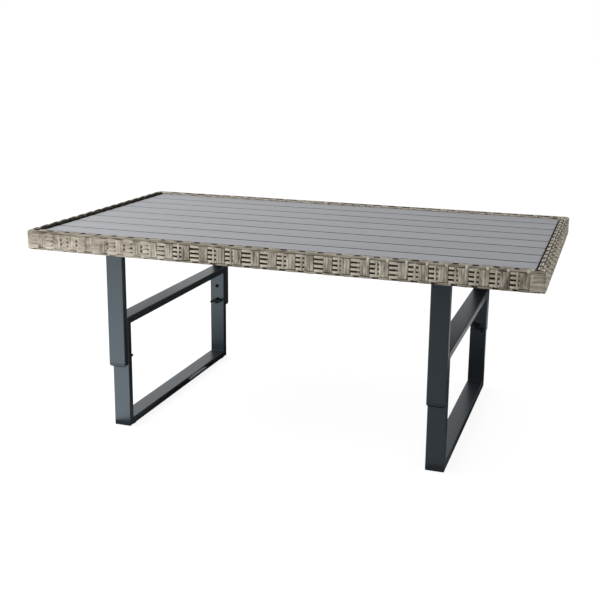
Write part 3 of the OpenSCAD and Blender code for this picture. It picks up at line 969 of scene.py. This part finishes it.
def turned(grid, angle):
    """Turns a shape round its local z."""
    points, closed = grid
    c, s = math.cos(math.radians(angle)), math.sin(math.radians(angle))
    x, y, z = points[..., 0], points[..., 1], points[..., 2]
    return np.stack([x * c - y * s, x * s + y * c, z], axis=-1), closed


def on_upright(grid, centre, seat, inward):
    """Puts a shape on the inner face of an upright: local z points inward along Y, local y points up."""
    points, closed = grid
    x, y, z = points[..., 0], points[..., 1], points[..., 2]
    return np.stack([centre[0] + x, seat + inward * z, centre[1] + y], axis=-1), closed


def upright_face(corner):
    """(y of the inner face of an upright, and the direction out of it)."""
    low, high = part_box(f"upright_{corner}")
    return (high.y, 1) if corner.endswith("front") else (low.y, -1)


def screw_place(node, corner):
    """(middle in X and Z, y of the upright's inner face, direction out of it, length of the shank)."""
    low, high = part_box(node)
    seat, inward = upright_face(corner)
    reach = seat - low.y if inward > 0 else high.y - seat
    return (0.5 * (low.x + high.x), 0.5 * (low.z + high.z)), seat, inward, reach


def make_wing_screws(material):
    """Four moulded wing screws with threaded shanks, in place of the plain ones."""
    for corner, angle in WING_ANGLES.items():
        node = f"wing_screw_{corner}"
        centre, seat, inward, reach = screw_place(node, corner)
        parts = [lathe(HUB), threaded_shank(reach), turned(wing_bar(), angle)]
        placed = [on_upright(part, centre, seat, inward) for part in parts]
        screw = plain_piece(f"moulded_{node}", placed, material)
        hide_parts(node)
        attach(screw, f"{node}_body")


def make_guide_bolts(material):
    """Button-head bolts with a hexagon socket, in place of the plain ones."""
    for side in ("left", "right"):
        grids = []
        node = f"guide_bolts_{side}"
        for end in ("front", "rear"):
            centre, seat, inward, reach = screw_place(node, f"{side}_{end}")
            for part in (lathe(BOLT_HEAD, 24, SOCKET_RINGS), threaded_shank(reach)):
                grids.append(on_upright(part, centre, seat, inward))
        bolts = plain_piece(f"button_head_bolts_{side}", grids, material)
        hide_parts(node)
        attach(bolts, f"{side}_leg_frame")


# -------------------- welds

def weld_bead(path, radius, closed=False):
    """A rippled weld along a path, as a swept ring."""
    step = 0.55 * MM
    corners = np.array(path)
    if closed:
        corners = np.concatenate([corners, corners[:1]])
    lengths = np.concatenate([[0], np.cumsum(np.linalg.norm(np.diff(corners, axis=0), axis=1))])
    s = np.linspace(0, lengths[-1], int(lengths[-1] / step) + 1)
    if closed:
        s = s[:-1]
    points = np.stack([np.interp(s, lengths, corners[:, k]) for k in range(3)], axis=-1)
    ahead = np.roll(points, -1, axis=0) - np.roll(points, 1, axis=0)
    if not closed:
        ahead[0], ahead[-1] = points[1] - points[0], points[-1] - points[-2]
    ahead /= np.linalg.norm(ahead, axis=1)[:, None]
    up = np.array([0.0, 0.0, 1.0])
    aside = np.cross(ahead, up)
    ripple = 1 + 0.16 * np.abs(np.sin(math.pi * s / (2.3 * MM)))
    if not closed:
        ripple = ripple * (0.55 + 0.45 * ease(np.minimum(s, s[-1] - s) / (2 * MM)))
    around = np.arange(10) / 10 * 2 * math.pi
    ring = np.cos(around)[None, :, None] * aside[:, None, :] + np.sin(around)[None, :, None] * up
    return points[:, None, :] + radius * ripple[:, None, None] * ring, closed


def rounded_outline(low, high, radius, z):
    """Outline of an upright tube: a rectangle with round corners at height z."""
    path = []
    for k, (x, y) in enumerate(((high.x, high.y), (low.x, high.y), (low.x, low.y), (high.x, low.y))):
        cx = x - math.copysign(radius, x - 0.5 * (low.x + high.x))
        cy = y - math.copysign(radius, y - 0.5 * (low.y + high.y))
        for part in range(5):
            a = math.radians(90 * k + 90 * part / 4)
            path.append((cx + radius * math.cos(a), cy + radius * math.sin(a), z))
    return path


def make_welds(material):
    """Fillet welds inside the corners of the leg frames, and round the tops of the upper legs."""
    for side in ("left", "right"):
        foot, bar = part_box(f"foot_rail_{side}"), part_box(f"crossbar_{side}")
        frame_beads, leg_beads = [], []
        for end in ("front", "rear"):
            seat, _ = upright_face(f"{side}_{end}")
            for z in (foot[1].z, bar[0].z):
                ends = [(foot[0].x + 2.5 * MM, seat, z), (foot[1].x - 2.5 * MM, seat, z)]
                frame_beads.append(weld_bead(ends, 2.2 * MM))
            low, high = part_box(f"upper_leg_{side}_{end}")
            leg_beads.append(weld_bead(rounded_outline(low, high, 2.5 * MM, high.z), 2.0 * MM, True))
        pieces = (("frame", frame_beads, f"{side}_leg_frame"), ("legs", leg_beads, "table_top"))
        for name, beads, body in pieces:
            welds = plain_piece(f"welds_{name}_{side}", beads, material)
            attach(welds, body)


# -------------------- end caps

# Heights in mm of the rings of a cap, from its lower end to the tube's
CAP_HEIGHTS = (0, 0.2, 0.7, 1.4, 2.3, 3.4, 4.6, 5.8, 7.0, 9.3, 9.6, 10)


def quarter_inset(radius, height):
    """How far a quarter circle is drawn in at a height above its lower end."""
    return radius - math.sqrt(radius ** 2 - max(0.0, radius - height) ** 2)


def moulded_cap(low, high, top):
    """A cap for the lower end of a tube: it draws in towards the bottom, with a fine seam at its top."""
    rings = []
    for height in CAP_HEIGHTS:
        seam = 0.25 if height > 9.5 else 0.0
        inset = Vector((quarter_inset(7.0, height) + seam, quarter_inset(3.4, height) + seam, 0)) * MM
        rings.append(rounded_outline(low + inset, high - inset, 2.4 * MM, top - (10 - height) * MM))
    return np.array(rings), False


def make_leg_caps(material):
    """Four end caps with round corners and edges, in place of the plainer ones. Their dull lower lip, which
    reflects nothing, is painted shade for the dark shadow line under each cap.
    """
    # below about 2.6 mm the tone drops under 0: a dull lip that is painted shade
    sheen = 1.44 * ease((np.array(CAP_HEIGHTS)[:, None] - 2.6) / 1.6) - 0.44
    for corner in WING_ANGLES:
        low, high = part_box(f"upper_leg_{corner}")
        cap = plain_piece(f"moulded_leg_cap_{corner}", [moulded_cap(low, high, low.z)], material, sheen)
        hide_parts(f"leg_cap_{corner}")
        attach(cap, "table_top")


# -------------------- CAD nodes that stay

# Bevel widths in mm by how a node's name starts. The first that fits counts
BEVELS = {"slat_screws": 0.2, "slat": 2.4, "floor_glides": 0.6, "flange_bolts": 0.4,
          "rivet_nuts": 0.3, "leg_flange": 0.5, "clamp_plate": 0.5}


def soften_edges(node, name):
    """Rounds the sharp edges of the nodes that have some, by a bevel modifier."""
    width = next((size for start, size in BEVELS.items() if name.startswith(start)), None)
    if width is None:
        return
    bevel = node.modifiers.new("soft_edges", "BEVEL")
    bevel.width = width * MM
    bevel.segments = 3
    bevel.limit_method = "ANGLE"
    bevel.angle_limit = math.radians(50)


def finish_cad_nodes(materials):
    """Gives every CAD node its material by its slot in the record, and softer edges."""
    for part in frame["record"]["subparts"]:
        node = NODES[part["node"]]
        node.data.materials.clear()
        node.data.materials.append(materials[part["material_slot"]])
        soften_edges(node, part["node"])


def main():
    bpy.context.scene.view_settings.view_transform = "Standard"
    make_camera()
    make_floor()
    make_world()
    make_lights()
    materials = {
        "woven_strand": strand_material(),
        "composite_slat": slat_material(),
        "powder_coat": powder_coat_material(),
        "black_plastic": black_plastic_material(),
        "black_steel": steel_material("black_steel", (0.02, 0.02, 0.022), (0.05, 0.05, 0.055), 0.4),
        "zinc_steel": steel_material("zinc_steel", (0.42, 0.43, 0.45), (0.62, 0.63, 0.65), 0.32),
    }
    finish_cad_nodes(materials)
    make_woven_rim(materials["woven_strand"])
    make_wing_screws(materials["black_plastic"])
    make_guide_bolts(materials["black_plastic"])
    make_leg_caps(materials["black_plastic"])
    make_welds(materials["powder_coat"])


main()
